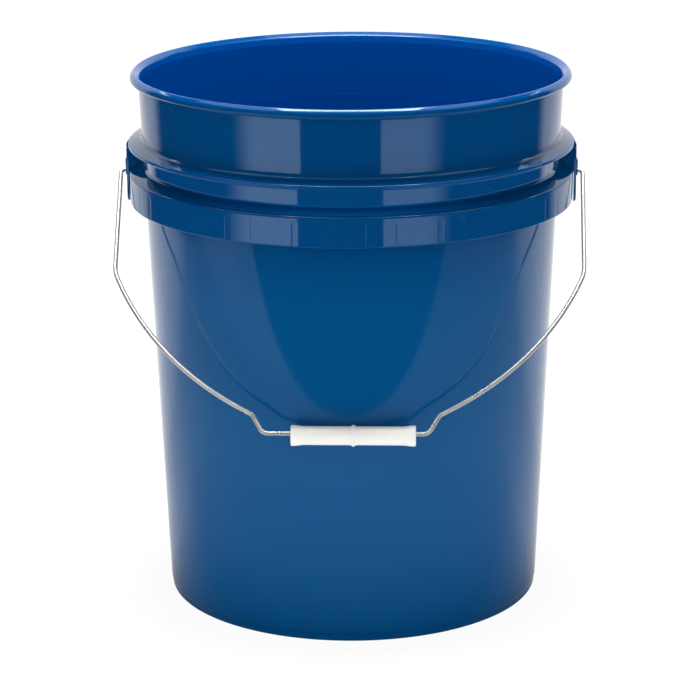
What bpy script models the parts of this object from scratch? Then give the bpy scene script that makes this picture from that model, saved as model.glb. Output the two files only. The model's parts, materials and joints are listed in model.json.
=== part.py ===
"""Plastic fermenting bucket: open moulded pail, swinging wire bail, loose roller grip.

Metres, +Z up. The origin is the centre of the foot on the floor, the ears lie on X and the
bail hangs against the front wall at -Y.
"""
import math

import bmesh
import bpy
from mathutils import Matrix, Vector

# Driving sizes of the pail
HEIGHT = 0.369
RIM_R = 0.151
BASE_R = 0.130
WALL = 0.0023
FLOOR_T = 0.0024
FOOT_LIFT = 0.0030
FOOT_W = 0.0072
FOOT_SLANT = 0.0012
FOOT_ROUND = 0.0010
FOOT_STEP = 0.0004
FOOT_STEP_Z = 0.0036
FLOOR_ROUND = 0.0050

# Rim bead
RIM_PROUD = 0.0056
RIM_DEPTH = 0.0065
RIM_ROUND = 0.0030
RIM_FILLET = 0.0009
BEAD_ROUND = 0.0018

# Reinforcing rings, hollow and open below
LIP_DROP = 0.0490
LIP_PROUD = 0.0078
LIP_ROUND = 0.0012
LIP_DEPTH = 0.0026
LIP_STEP = 0.0004
FLARE_RISE = 0.0100
UPPER_SKIRT = 0.0140
UPPER_DRAFT = 0.0002
SKIRT_RISE = 0.0050
RING_GAP = 0.0064
LOWER_SKIRT = 0.0206
LOWER_INSET = 0.0005
LOWER_DRAFT = 0.0001
CROWN_ROUND = 0.0016
ROOT_ROUND = 0.0013
RING_WALL = 0.0019
HOLLOW_ROUND = 0.0008
SKIRT_ROUND = 0.0005

# Gussets across the hollow of the lower ring
GUSSETS = 30
GUSSET_T = 0.0012
GUSSET_UP = 0.0045
GUSSET_SLANT = 0.0060

# Ears
NOTCH_HALF = math.radians(27.5)
NOTCH_DROP = 0.0032
NOTCH_UNDER = 0.0030
NOTCH_IN = 0.0022
NOTCH_OUT = 0.0040
TAB_PROUD = 0.0016
TAB_T = 0.0017
TAB_W = 0.0160
TAB_DROP = 0.0055
TAB_LEN = 0.0385
TAB_NECK_IN = 0.0007
TAB_NECK_UP = 0.0049
TAB_NECK_DOWN = 0.0010
TAB_TOP_ROUND = 0.0015
TAB_BOT_ROUND = 0.0060
PAD_T = 0.0012
PAD_W = 0.0080
PAD_UP = 0.0085
PAD_DOWN = 0.0034
PAD_TOP_ROUND = 0.0020
PAD_BOT_ROUND = 0.0032
WEB_T = 0.0018
WEB_Y = 0.0068
WEB_DROP = 0.0018
WEB_FLAT = 0.0020
WEB_SLOPE = 0.70
HOLE_DROP = 0.0024
HOLE_BACK = 0.0015
HOLE_RUN = 0.0080
POCKET_DEPTH = 0.0130
POCKET_OVER = 0.0008
POCKET_BACK = 0.0006
POCKET_FRONT = 0.0004

# Bail wire and grip
WIRE_R = 0.00155
BEND_R = 0.0030
TAIL = 0.0052
REACH = 0.2045
JOG_X = 0.0543
JOG_RUN = 0.0073
JOG_DEPTH = 0.0138
JOG_R = 0.0062
LEG_IN = 0.0006
CORNER_S = 0.0830
CORNER_R = 0.0280
BOW = 0.0129
GRIP_LEN = 0.0820
GRIP_R = 0.00625
GRIP_FLARE_R = 0.0069
GRIP_BEAD_R = 0.00725
GRIP_BEAD_RUN = 0.0030
GRIP_FLARE_RUN = 0.0085
GRIP_END_ROUND = 0.0008
GRIP_MOUTH = 0.0006
GRIP_SHIFT = 0.0052
GRIP_HANG = 0.0013

# Clearances
HOLE_CLEAR = 0.0006
END_PLAY = 0.0005
BORE_CLEAR = 0.0017
REST_GAP = 0.0003
EDGE_TOL = 0.0001

# Tessellation
PAIL_SEGMENTS = 72
WIRE_BEVEL = 3
GRIP_SEGMENTS = 24
CREASE = math.radians(38.0)

# Sizes that follow
NECK_R = RIM_R - RIM_PROUD
BEAD_Z = HEIGHT - RIM_DEPTH
LIP_Z = HEIGHT - LIP_DROP
FLARE_Z = LIP_Z + FLARE_RISE
LIP_R = NECK_R + LIP_PROUD
UPPER_BOT_Z = LIP_Z - UPPER_SKIRT
UPPER_BOT_R = LIP_R - LIP_STEP - UPPER_DRAFT
LOWER_TOP_Z = UPPER_BOT_Z - RING_GAP
LOWER_BOT_Z = LOWER_TOP_Z - LOWER_SKIRT
LOWER_R = LIP_R - LOWER_INSET
LOWER_BOT_R = LOWER_R - LOWER_DRAFT
TAB_OUT = LIP_R + TAB_PROUD
TAB_IN = TAB_OUT - TAB_T
TAB_TOP_Z = LIP_Z - TAB_DROP
PAD_OUT = TAB_OUT + PAD_T
PIVOT_Z = LOWER_TOP_Z - HOLE_DROP
LEG_X = PAD_OUT + END_PLAY + BEND_R
TAIL_X = TAB_IN - END_PLAY - BEND_R
FLOOR_Z = FOOT_LIFT + FLOOR_T
BORE_R = WIRE_R + BORE_CLEAR


def wall_r(z):
    """Outer radius of the tapered wall at height z."""
    return BASE_R + (NECK_R - BASE_R) * z / BEAD_Z


def arc(cr, cz, radius, start, end, steps):
    """Points on an arc in the radius-height plane, angles in degrees."""
    out = []
    for i in range(steps + 1):
        a = math.radians(start + (end - start) * i / steps)
        out.append((cr + radius * math.cos(a), cz + radius * math.sin(a)))
    return out


def flare_arc(depth, first_r, last_r, steps):
    """Hollow curve from the lip up into the neck, a depth under its surface, between two radii."""
    neck = wall_r(FLARE_Z)
    sweep = 2.0 * math.atan((LIP_R - LIP_ROUND - neck) / FLARE_RISE)
    radius = FLARE_RISE / math.sin(sweep)
    centre = neck + radius
    ends = []
    for r in (first_r, last_r):
        ends.append(180.0 + math.degrees(math.acos(min(1.0, (centre - r) / (radius + depth)))))
    return arc(centre, FLARE_Z, radius + depth, ends[0], ends[1], steps)


def bail_angle():
    """Angle of the resting bail from straight down, grip lying on the front wall."""
    taper = math.cos(math.atan2(NECK_R - BASE_R, BEAD_Z))
    low, high = 0.0, math.radians(85.0)
    for _ in range(60):
        mid = 0.5 * (low + high)
        stand = REACH * math.sin(mid) - wall_r(PIVOT_Z - REACH * math.cos(mid) - GRIP_HANG)
        if stand * taper < GRIP_BEAD_R + REST_GAP:
            low = mid
        else:
            high = mid
    return high


def skirt_edge(inner, outer, bottom):
    """Free lower edge of a hanging skirt, from its inside to its outside."""
    inside = [(inner, bottom + SKIRT_ROUND), (inner + SKIRT_ROUND, bottom)]
    return inside + [(outer - SKIRT_ROUND, bottom), (outer, bottom + SKIRT_ROUND)]


def pail_profile():
    """Section of the pail from the axis underside round to the axis of the floor."""
    ledge = LOWER_TOP_Z - RING_WALL
    inner_top = wall_r(HEIGHT) - WALL
    foot_in = BASE_R - FOOT_W
    pts = [(0.0, FOOT_LIFT), (foot_in / 2, FOOT_LIFT), (foot_in - FOOT_SLANT, FOOT_LIFT), (foot_in, 0.0)]
    # Foot with a small step above it
    foot_out = BASE_R - FOOT_STEP
    pts += arc(foot_out - FOOT_ROUND, FOOT_ROUND, FOOT_ROUND, -90.0, 0.0, 3)
    pts += [(foot_out, FOOT_STEP_Z - 2 * FOOT_STEP), (wall_r(FOOT_STEP_Z), FOOT_STEP_Z)]
    # Wall up into the hollow of the lower ring
    pts += [(wall_r(0.45 * LOWER_BOT_Z), 0.45 * LOWER_BOT_Z), (wall_r(ledge), ledge)]
    inner = LOWER_R - RING_WALL
    pts += [(inner - HOLLOW_ROUND, ledge), (inner, ledge - HOLLOW_ROUND)]
    pts += skirt_edge(LOWER_BOT_R - 0.9 * RING_WALL, LOWER_BOT_R, LOWER_BOT_Z)
    pts += arc(LOWER_R - CROWN_ROUND, LOWER_TOP_Z - CROWN_ROUND, CROWN_ROUND, 0.0, 90.0, 3)
    root = wall_r(LOWER_TOP_Z)
    pts += [(root + ROOT_ROUND, LOWER_TOP_Z), (root + 0.3 * ROOT_ROUND, LOWER_TOP_Z + 0.3 * ROOT_ROUND)]
    pts += [(wall_r(LOWER_TOP_Z + ROOT_ROUND), LOWER_TOP_Z + ROOT_ROUND)]
    # Hollow of the upper ring
    inner = LIP_R - RING_WALL
    pts += flare_arc(RING_WALL, wall_r(LIP_Z + 0.4 * FLARE_RISE), inner - HOLLOW_ROUND, 4)
    pts += [(inner, pts[-1][1] - 1.25 * HOLLOW_ROUND)]
    pts += skirt_edge(UPPER_BOT_R - 0.9 * RING_WALL, UPPER_BOT_R, UPPER_BOT_Z)
    # Lip over the skirt and the shoulder that flares out of the neck
    pts += [(LIP_R - LIP_STEP, LIP_Z - LIP_DEPTH)]
    pts += arc(LIP_R - LIP_ROUND, LIP_Z - LIP_ROUND, LIP_ROUND, 0.0, 60.0, 2)
    pts += flare_arc(0.0, LIP_R - LIP_ROUND, wall_r(FLARE_Z), 6)
    # Rim bead
    pts += [(wall_r(BEAD_Z - RIM_FILLET), BEAD_Z - RIM_FILLET), (NECK_R + RIM_FILLET, BEAD_Z)]
    pts += arc(RIM_R - BEAD_ROUND, BEAD_Z + BEAD_ROUND, BEAD_ROUND, -90.0, 0.0, 3)
    pts += arc(RIM_R - RIM_ROUND, HEIGHT - RIM_ROUND, RIM_ROUND, 0.0, 90.0, 4)
    pts += arc(inner_top + RIM_ROUND, HEIGHT - RIM_ROUND, RIM_ROUND, 90.0, 180.0, 4)
    # Inside wall and floor
    base_in = wall_r(FLOOR_Z + FLOOR_ROUND) - WALL
    pts += [(wall_r(HEIGHT / 2) - WALL, HEIGHT / 2)]
    pts += arc(base_in - FLOOR_ROUND, FLOOR_Z + FLOOR_ROUND, FLOOR_ROUND, 0.0, -90.0, 4)
    pts += [(base_in / 2, FLOOR_Z), (0.0, FLOOR_Z)]
    return pts


def spun(profile, axis_vec, segments, closed=False):
    """Closed mesh from a section turned a full circle about an axis through the origin."""
    bm = bmesh.new()
    verts = [bm.verts.new(p) for p in profile]
    pairs = list(zip(verts[:-1], verts[1:]))
    if closed:
        pairs.append((verts[-1], verts[0]))
    edges = [bm.edges.new(pair) for pair in pairs]
    geom = verts + edges
    full = 2.0 * math.pi
    bmesh.ops.spin(bm, geom=geom, cent=(0, 0, 0), axis=axis_vec, angle=full, steps=segments, use_merge=True)
    bmesh.ops.remove_doubles(bm, verts=bm.verts, dist=1e-6)
    bmesh.ops.recalc_face_normals(bm, faces=bm.faces)
    return bm


def lift_skirt(bm):
    """Raise the lower edge of the upper skirt towards the ears."""
    for vert in bm.verts:
        radius = math.hypot(vert.co.x, vert.co.y)
        above = vert.co.z - UPPER_BOT_Z
        if radius > LIP_R - 2 * RING_WALL and -EDGE_TOL < above < SKIRT_ROUND + EDGE_TOL:
            vert.co.z += SKIRT_RISE * (vert.co.x / radius) ** 2


def prism(points, axis_vec):
    """Closed prism from a polygon swept along a vector."""
    bm = bmesh.new()
    face = bm.faces.new([bm.verts.new(p) for p in points])
    moved = bmesh.ops.extrude_face_region(bm, geom=[face])
    verts = [v for v in moved["geom"] if isinstance(v, bmesh.types.BMVert)]
    bmesh.ops.translate(bm, verts=verts, vec=axis_vec)
    bmesh.ops.recalc_face_normals(bm, faces=bm.faces)
    return bm


def rounded_outline(half_w, top, bottom, corner_top, corner_bot, steps):
    """Outline of an upright plate with rounded corners, as width and height pairs."""
    out = []
    corners = [
        (half_w - corner_bot, bottom + corner_bot, corner_bot, -90.0),
        (half_w - corner_top, top - corner_top, corner_top, 0.0),
        (-half_w + corner_top, top - corner_top, corner_top, 90.0),
        (-half_w + corner_bot, bottom + corner_bot, corner_bot, 180.0),
    ]
    for cy, cz, radius, start in corners:
        out += arc(cy, cz, radius, start, start + 90.0, steps)
    return out


def new_object(name, bm, hidden=False):
    """Mesh object holding the given geometry."""
    mesh = bpy.data.meshes.new(name)
    bm.to_mesh(mesh)
    bm.free()
    obj = bpy.data.objects.new(name, mesh)
    bpy.context.scene.collection.objects.link(obj)
    if hidden:
        obj.hide_render = True
        obj.display_type = "WIRE"
    return obj


def combine(target, other, operation):
    """Join or cut the target with another closed solid and drop the tool."""
    mod = target.modifiers.new("cut", "BOOLEAN")
    mod.operation = operation
    mod.solver = "EXACT"
    mod.object = other
    depsgraph = bpy.context.evaluated_depsgraph_get()
    mesh = bpy.data.meshes.new_from_object(target.evaluated_get(depsgraph))
    target.modifiers.clear()
    target.data = mesh
    bpy.data.objects.remove(other, do_unlink=True)


def paint(obj, color, roughness, metallic):
    """Give an object its own plain material."""
    mat = bpy.data.materials.new(obj.name + "_material")
    mat.use_nodes = True
    shader = mat.node_tree.nodes["Principled BSDF"]
    shader.inputs["Base Color"].default_value = color
    shader.inputs["Roughness"].default_value = roughness
    shader.inputs["Metallic"].default_value = metallic
    obj.data.materials.clear()
    obj.data.materials.append(mat)


def tidy(obj):
    """Clean a cut mesh and shade it smooth between sharp creases."""
    bm = bmesh.new()
    bm.from_mesh(obj.data)
    bmesh.ops.remove_doubles(bm, verts=bm.verts, dist=2e-6)
    bmesh.ops.dissolve_degenerate(bm, edges=bm.edges, dist=1e-6)
    bmesh.ops.triangulate(bm, faces=[f for f in bm.faces if len(f.verts) > 4])
    bmesh.ops.recalc_face_normals(bm, faces=bm.faces)
    bm.to_mesh(obj.data)
    bm.free()
    obj.data.shade_smooth()
    obj.data.set_sharp_from_angle(angle=CREASE)


def notch_cutter(side):
    """Sector that takes the upper skirt away around one ear."""
    steps = 12
    low = UPPER_BOT_Z - NOTCH_UNDER
    high = LIP_Z - NOTCH_DROP
    inner = LIP_R - RING_WALL - NOTCH_IN
    outer = LIP_R + NOTCH_OUT
    ring = []
    for radius, order in ((outer, range(steps + 1)), (inner, range(steps, -1, -1))):
        for i in order:
            a = NOTCH_HALF * (2.0 * i / steps - 1.0)
            ring.append((side * radius * math.cos(a), radius * math.sin(a), low))
    return prism(ring, Vector((0.0, 0.0, high - low)))


def box(lo, hi):
    """Closed box between two corners."""
    ring = [(lo[0], lo[1], lo[2]), (hi[0], lo[1], lo[2]), (hi[0], hi[1], lo[2]), (lo[0], hi[1], lo[2])]
    return prism(ring, Vector((0.0, 0.0, hi[2] - lo[2])))


def mirrored(lo_x, hi_x, side):
    """Ordered X limits on one side of the pail."""
    return (lo_x, hi_x) if side > 0 else (-hi_x, -lo_x)


def build_ear(pail, side):
    """Cut the skirt and ring at one ear, then add its tab, pad, webs and wire hole."""
    combine(pail, new_object("notch", notch_cutter(side), True), "DIFFERENCE")
    half_pocket = WEB_Y - WEB_T / 2
    x0, x1 = mirrored(wall_r(LOWER_TOP_Z) + POCKET_BACK, TAB_IN - POCKET_FRONT, side)
    cut = box((x0, -half_pocket, LOWER_TOP_Z - POCKET_DEPTH), (x1, half_pocket, LOWER_TOP_Z + POCKET_OVER))
    combine(pail, new_object("pocket", cut, True), "DIFFERENCE")
    outline = rounded_outline(TAB_W / 2, TAB_TOP_Z, TAB_TOP_Z - TAB_LEN, TAB_TOP_ROUND, TAB_BOT_ROUND, 4)
    tab = prism([(side * TAB_IN, y, z) for y, z in outline], Vector((side * TAB_T, 0.0, 0.0)))
    combine(pail, new_object("tab", tab, True), "UNION")
    neck_in = LIP_R - TAB_NECK_IN
    neck_top = TAB_TOP_Z + TAB_NECK_UP
    ring = [(neck_in, TAB_TOP_Z - TAB_NECK_DOWN), (TAB_OUT, TAB_TOP_Z - TAB_NECK_DOWN)]
    ring += [(TAB_OUT, TAB_TOP_Z), (LIP_R, neck_top), (neck_in, neck_top)]
    half = TAB_W / 2 - TAB_TOP_ROUND
    neck = prism([(side * x, -half, z) for x, z in ring], Vector((0.0, 2 * half, 0.0)))
    combine(pail, new_object("tab_neck", neck, True), "UNION")
    pad_top, pad_bottom = PIVOT_Z + PAD_UP, PIVOT_Z - PAD_DOWN
    outline = rounded_outline(PAD_W / 2, pad_top, pad_bottom, PAD_TOP_ROUND, PAD_BOT_ROUND, 3)
    root = TAB_OUT - TAB_T / 2
    pad = prism([(side * root, y, z) for y, z in outline], Vector((side * (PAD_OUT - root), 0.0, 0.0)))
    combine(pail, new_object("pad", pad, True), "UNION")
    web_in = wall_r(LOWER_TOP_Z) - 0.4 * WALL
    web_out = TAB_IN + 0.35 * TAB_T
    web_top = LIP_Z - WEB_DROP
    web_back = web_top + WEB_SLOPE * (web_out - WEB_FLAT - web_in)
    foot = LOWER_TOP_Z - RING_WALL / 2
    ring = [(web_in, foot), (web_out, foot), (web_out, web_top)]
    ring += [(web_out - WEB_FLAT, web_top), (web_in, web_back)]
    for y in (-WEB_Y, WEB_Y):
        web = prism([(side * x, y - WEB_T / 2, z) for x, z in ring], Vector((0.0, WEB_T, 0.0)))
        combine(pail, new_object("web", web, True), "UNION")
    circle = arc(0.0, PIVOT_Z, WIRE_R + HOLE_CLEAR, 0.0, 337.5, 15)
    start = side * (TAB_IN - HOLE_BACK)
    hole = prism([(start, y, z) for y, z in circle], Vector((side * HOLE_RUN, 0.0, 0.0)))
    combine(pail, new_object("hole", hole, True), "DIFFERENCE")


def gusset_plates():
    """Thin upright plates across the hollow of the lower ring, clear of the ears."""
    top = LOWER_TOP_Z - 0.6 * RING_WALL
    low = LOWER_BOT_Z + GUSSET_UP
    inner = wall_r(low) - 0.4 * WALL
    outer = LOWER_R - 0.6 * RING_WALL
    foot = LOWER_BOT_R + LOWER_DRAFT * GUSSET_UP / LOWER_SKIRT - 0.6 * RING_WALL
    ring = [(inner, low + GUSSET_SLANT), (foot, low), (outer, top), (inner, top)]
    plates = bmesh.new()
    for i in range(GUSSETS):
        plate = prism([(r, -GUSSET_T / 2, z) for r, z in ring], Vector((0.0, GUSSET_T, 0.0)))
        turn = Matrix.Rotation(2 * math.pi * (i + 0.5) / GUSSETS, 4, "Z")
        bmesh.ops.transform(plate, matrix=turn, verts=plate.verts)
        mesh = bpy.data.meshes.new("gusset")
        plate.to_mesh(mesh)
        plate.free()
        plates.from_mesh(mesh)
        bpy.data.meshes.remove(mesh)
    return plates


def build_pail():
    """The moulded pail with its two ears."""
    section = [(r, 0.0, z) for r, z in pail_profile()]
    bm = spun(section, (0.0, 0.0, 1.0), PAIL_SEGMENTS)
    lift_skirt(bm)
    pail = new_object("pail_body", bm)
    combine(pail, new_object("gussets", gusset_plates(), True), "UNION")
    for side in (1.0, -1.0):
        build_ear(pail, side)
    tidy(pail)
    paint(pail, (0.0, 0.047, 0.172, 1.0), 0.22, 0.0)
    return pail


def fillet_path(points, radii, steps):
    """Polyline through the given corners, each rounded to its radius."""
    out = [points[0]]
    for i in range(1, len(points) - 1):
        corner = Vector(points[i])
        back = (Vector(points[i - 1]) - corner).normalized()
        ahead = (Vector(points[i + 1]) - corner).normalized()
        turn = math.pi - back.angle(ahead)
        if turn < 1e-4 or radii[i] <= 0.0:
            out.append((corner.x, corner.y))
            continue
        reach = radii[i] * math.tan(0.5 * turn)
        centre = corner + (back + ahead).normalized() * (radii[i] / math.cos(0.5 * turn))
        first = corner + back * reach - centre
        second = corner + ahead * reach - centre
        for k in range(steps[i] + 1):
            t = k / steps[i]
            w0 = math.sin((1.0 - t) * turn) / math.sin(turn)
            w1 = math.sin(t * turn) / math.sin(turn)
            p = centre + first * w0 + second * w1
            out.append((p.x, p.y))
    out.append(points[-1])
    return out


def bail_half():
    """Centre line of the right half of the bail, as X and distance from the pivot axis."""
    knee = (LEG_X - LEG_IN, CORNER_S)
    jog_low = (JOG_X, REACH)
    jog_top = (JOG_X + JOG_RUN, REACH - JOG_DEPTH)
    # Bowed run between knee and jog, sampled from a parabola over its chord
    chord = Vector(jog_top) - Vector(knee)
    normal = Vector((chord.y, -chord.x)).normalized()
    if normal.y < 0.0:
        normal = -normal
    bowed = []
    for i in range(1, 10):
        t = i / 10.0
        p = Vector(knee) + chord * t + normal * (4 * BOW * t * (1 - t))
        bowed.append((p.x, p.y))
    points = [(TAIL_X, -TAIL), (TAIL_X, 0.0), (LEG_X, 0.0), knee] + bowed + [jog_top, jog_low, (0.0, REACH)]
    radii = [0.0, BEND_R, BEND_R, CORNER_R] + [0.0] * len(bowed) + [JOG_R, JOG_R, 0.0]
    steps = [0, 5, 5, 5] + [0] * len(bowed) + [4, 6, 0]
    return fillet_path(points, radii, steps)


def build_bail():
    """Round wire along the bail's centre line, turned about the pivot into its resting pose."""
    half = bail_half()
    line = half[:-1] + [(-x, s) for x, s in reversed(half[:-1])]
    curve = bpy.data.curves.new("bail_wire", "CURVE")
    curve.dimensions = "3D"
    curve.bevel_depth = WIRE_R
    curve.bevel_resolution = WIRE_BEVEL
    curve.use_fill_caps = True
    spline = curve.splines.new("POLY")
    spline.points.add(len(line) - 1)
    for point, (x, s) in zip(spline.points, line):
        point.co = (x, 0.0, -s, 1.0)
    bail = bpy.data.objects.new("bail_wire", curve)
    bpy.context.scene.collection.objects.link(bail)
    bail.location = (0.0, 0.0, PIVOT_Z)
    bail.rotation_euler = (-bail_angle(), 0.0, 0.0)
    paint(bail, (0.50, 0.52, 0.54, 1.0), 0.28, 1.0)
    return bail


def grip_profile():
    """Closed section of the grip: bore, softly flared ends and a bead round the middle."""
    half = GRIP_LEN / 2
    proud = GRIP_BEAD_R - GRIP_R
    right = [(0.2 * GRIP_BEAD_RUN, GRIP_BEAD_R), (0.4 * GRIP_BEAD_RUN, GRIP_R + 0.7 * proud)]
    right += [(0.65 * GRIP_BEAD_RUN, GRIP_R + 0.15 * proud), (GRIP_BEAD_RUN, GRIP_R)]
    for i in range(5):
        t = i / 4
        swell = t * t * (3 - 2 * t)
        x = half - GRIP_END_ROUND - GRIP_FLARE_RUN * (1 - t)
        right.append((x, GRIP_R + (GRIP_FLARE_R - GRIP_R) * swell))
    right += arc(half - GRIP_END_ROUND, GRIP_FLARE_R - GRIP_END_ROUND, GRIP_END_ROUND, 60.0, 0.0, 2)
    right += [(half, BORE_R + GRIP_MOUTH), (half - GRIP_MOUTH, BORE_R)]
    return [(-x, r) for x, r in reversed(right)] + right


def build_grip(bail):
    """Hollow roller grip hanging loosely on the straight run of the wire, carried by the bail."""
    section = [(x, 0.0, r) for x, r in grip_profile()]
    grip = new_object("hand_grip", spun(section, (1.0, 0.0, 0.0), GRIP_SEGMENTS, closed=True))
    grip.parent = bail
    turn = bail_angle()
    grip.location = (GRIP_SHIFT, GRIP_HANG * math.sin(turn), -REACH - GRIP_HANG * math.cos(turn))
    tidy(grip)
    paint(grip, (0.80, 0.81, 0.78, 1.0), 0.35, 0.0)
    return grip


def main():
    """Build every piece of the bucket in its resting pose."""
    for obj in list(bpy.data.objects):
        bpy.data.objects.remove(obj, do_unlink=True)
    build_pail()
    build_grip(build_bail())


main()
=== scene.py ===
"""Looks of a plastic fermenting bucket: moulded blue pail, zinc-plated wire bail, white roller grip."""

import json
import logging
import math
from dataclasses import dataclass
from enum import Enum
from functools import partial
from typing import Any, Callable, Sequence

import bmesh
import bpy
from bmesh.types import BMEdge, BMesh, BMFace, BMVert
from bpy.types import Material, Node, NodeSocket, NodeTree, Object, World
from mathutils import Matrix, Vector

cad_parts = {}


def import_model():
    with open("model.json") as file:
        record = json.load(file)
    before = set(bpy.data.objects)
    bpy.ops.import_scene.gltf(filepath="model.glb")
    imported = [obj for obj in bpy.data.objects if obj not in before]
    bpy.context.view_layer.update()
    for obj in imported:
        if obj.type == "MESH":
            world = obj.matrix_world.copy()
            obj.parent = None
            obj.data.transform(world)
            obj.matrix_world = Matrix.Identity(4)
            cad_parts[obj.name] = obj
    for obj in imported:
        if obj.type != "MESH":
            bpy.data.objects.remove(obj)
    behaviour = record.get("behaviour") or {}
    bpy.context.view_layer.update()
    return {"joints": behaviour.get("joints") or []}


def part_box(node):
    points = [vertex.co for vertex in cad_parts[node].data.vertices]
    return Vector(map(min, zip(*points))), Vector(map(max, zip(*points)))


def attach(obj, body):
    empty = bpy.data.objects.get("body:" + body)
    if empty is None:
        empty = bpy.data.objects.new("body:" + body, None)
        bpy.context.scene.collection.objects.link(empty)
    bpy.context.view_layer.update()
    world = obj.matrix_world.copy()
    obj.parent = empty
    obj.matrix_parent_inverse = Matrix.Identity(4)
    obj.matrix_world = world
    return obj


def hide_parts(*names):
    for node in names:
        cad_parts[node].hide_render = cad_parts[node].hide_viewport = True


LOG = logging.getLogger("bucket")
MM = 0.001
WHITE = (1.0, 1.0, 1.0, 1.0)
Point = tuple[float, float]
Span = tuple[float, float]
Triple = tuple[float, float, float]
Colour = tuple[float, float, float, float]
Line = tuple[Point, ...]
Adder = Callable[..., Node]


class Side(Enum):
    """The two ears of the pail, by the sign of their X."""

    RIGHT = 1.0
    LEFT = -1.0


class Cut(Enum):
    """How one solid works on another."""

    AWAY = "DIFFERENCE"
    TOGETHER = "UNION"


class Does(Enum):
    """What a node does with its inputs, as the setting that makes it so."""

    ADD = {"operation": "ADD"}
    TAKE = {"operation": "SUBTRACT"}
    TIMES = {"operation": "MULTIPLY"}
    MOST = {"operation": "MAXIMUM"}
    UNSIGNED = {"operation": "ABSOLUTE"}
    ANGLE = {"operation": "ARCTAN2"}
    FOLD = {"operation": "PINGPONG"}
    LENGTH = {"operation": "LENGTH"}
    DOT = {"operation": "DOT_PRODUCT"}
    COLOUR = {"data_type": "RGBA"}
    EASED = {"interpolation_type": "SMOOTHSTEP"}
    UNBOUND = {"clamp": False}


def linear(hex_colour: str) -> Colour:
    """Turn an sRGB hex colour into linear RGBA with alpha 1."""
    digits = hex_colour.lstrip("#")
    out = []
    for i in (0, 2, 4):
        c = int(digits[i:i + 2], 16) / 255.0
        out.append(c / 12.92 if c <= 0.04045 else ((c + 0.055) / 1.055) ** 2.4)
    return (out[0], out[1], out[2], 1.0)


def per(width_mm: float) -> float:
    """Scale of a pattern whose features are this many millimetres wide."""
    return 1.0 / (width_mm * MM)


def ends(source: Span, result: Span = (0.0, 1.0)) -> dict[str, float]:
    """Inputs of a range node that turns the ends of one span into those of another."""
    return {"From_Min": source[0], "From_Max": source[1], "To_Min": result[0], "To_Max": result[1]}


def add_node(tree: NodeTree, kind: str, does: Does | None = None, **inputs: Any) -> Node:
    """Add one shader node with its setting and links.

    Args:
        tree: Node tree that takes the node.
        kind: Node type, without the words that every shader node starts with.
        does: Setting of the node itself.
        **inputs: Values, sockets or nodes by input name, with spaces written as underscores, or
            _N for input N. A node stands for its first output that is in use.

    Returns:
        The new node.
    """
    node = tree.nodes.new("ShaderNode" + kind)
    for key, value in (does.value if does else {}).items():
        setattr(node, key, value)
    for key, value in inputs.items():
        socket = node.inputs[int(key[1:])] if key[0] == "_" else node.inputs[key.replace("_", " ")]
        if isinstance(value, Node):
            value = next(out for out in value.outputs if out.enabled)
        if isinstance(value, NodeSocket):
            tree.links.new(value, socket)
        else:
            socket.default_value = value
    return node


def emptied(owner: Material | World) -> Adder:
    """Clear the nodes of a material or world and return what adds new ones to it."""
    owner.use_nodes = True
    owner.node_tree.nodes.clear()
    return partial(add_node, owner.node_tree)


def seen(node: Adder) -> Node:
    """Node that is 1 where the eye, a gloss or a clear piece looks at a surface directly."""
    ray = node("LightPath").outputs
    direct = node("Math", Does.MOST, _0=ray["Is Camera Ray"], _1=ray["Is Glossy Ray"])
    return node("Math", Does.MOST, _0=direct, _1=ray["Is Transmission Ray"])


def arc(cx: float, cy: float, radius: float, start: float, end: float, steps: int) -> list[Point]:
    """Points on a flat arc about a centre, in chords from one angle in degrees to another."""
    angles = [math.radians(start + (end - start) * i / steps) for i in range(steps + 1)]
    return [(cx + radius * math.cos(a), cy + radius * math.sin(a)) for a in angles]


def rounded(corners: Sequence[Point], radii: Sequence[float], steps: int) -> list[Point]:
    """Polyline through corners, each rounded to its own radius.

    Args:
        corners: The corner points in order.
        radii: One radius for each corner, 0 for a sharp one.
        steps: Chords in each rounded corner.

    Returns:
        The points of the rounded line.
    """
    straight = 1e-4
    out: list[Point] = [corners[0]]
    for i in range(1, len(corners) - 1):
        here = Vector(corners[i])
        back = (Vector(corners[i - 1]) - here).normalized()
        ahead = (Vector(corners[i + 1]) - here).normalized()
        turn = math.pi - back.angle(ahead)
        if radii[i] <= 0.0 or turn < straight:
            out.append((here.x, here.y))
            continue
        reach = radii[i] * math.tan(0.5 * turn)
        centre = here + (back + ahead).normalized() * (radii[i] / math.cos(0.5 * turn))
        first = here + back * reach - centre
        last = here + ahead * reach - centre
        for k in range(steps + 1):
            t = k / steps
            swept = first * math.sin((1.0 - t) * turn) + last * math.sin(t * turn)
            p = centre + swept / math.sin(turn)
            out.append((p.x, p.y))
    out.append(corners[-1])
    return out


def held(line: Sequence[Point], gap: float) -> list[Point]:
    """Add points at a gap from both ends of each long straight run, so that it shades flat."""
    long_run = 6.0 * gap
    out = [line[0]]
    for start, end in zip(line[:-1], line[1:]):
        run = Vector(end) - Vector(start)
        if run.length > long_run:
            step = run * (gap / run.length)
            out += [(start[0] + step.x, start[1] + step.y), (end[0] - step.x, end[1] - step.y)]
        out.append(end)
    return out


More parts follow.
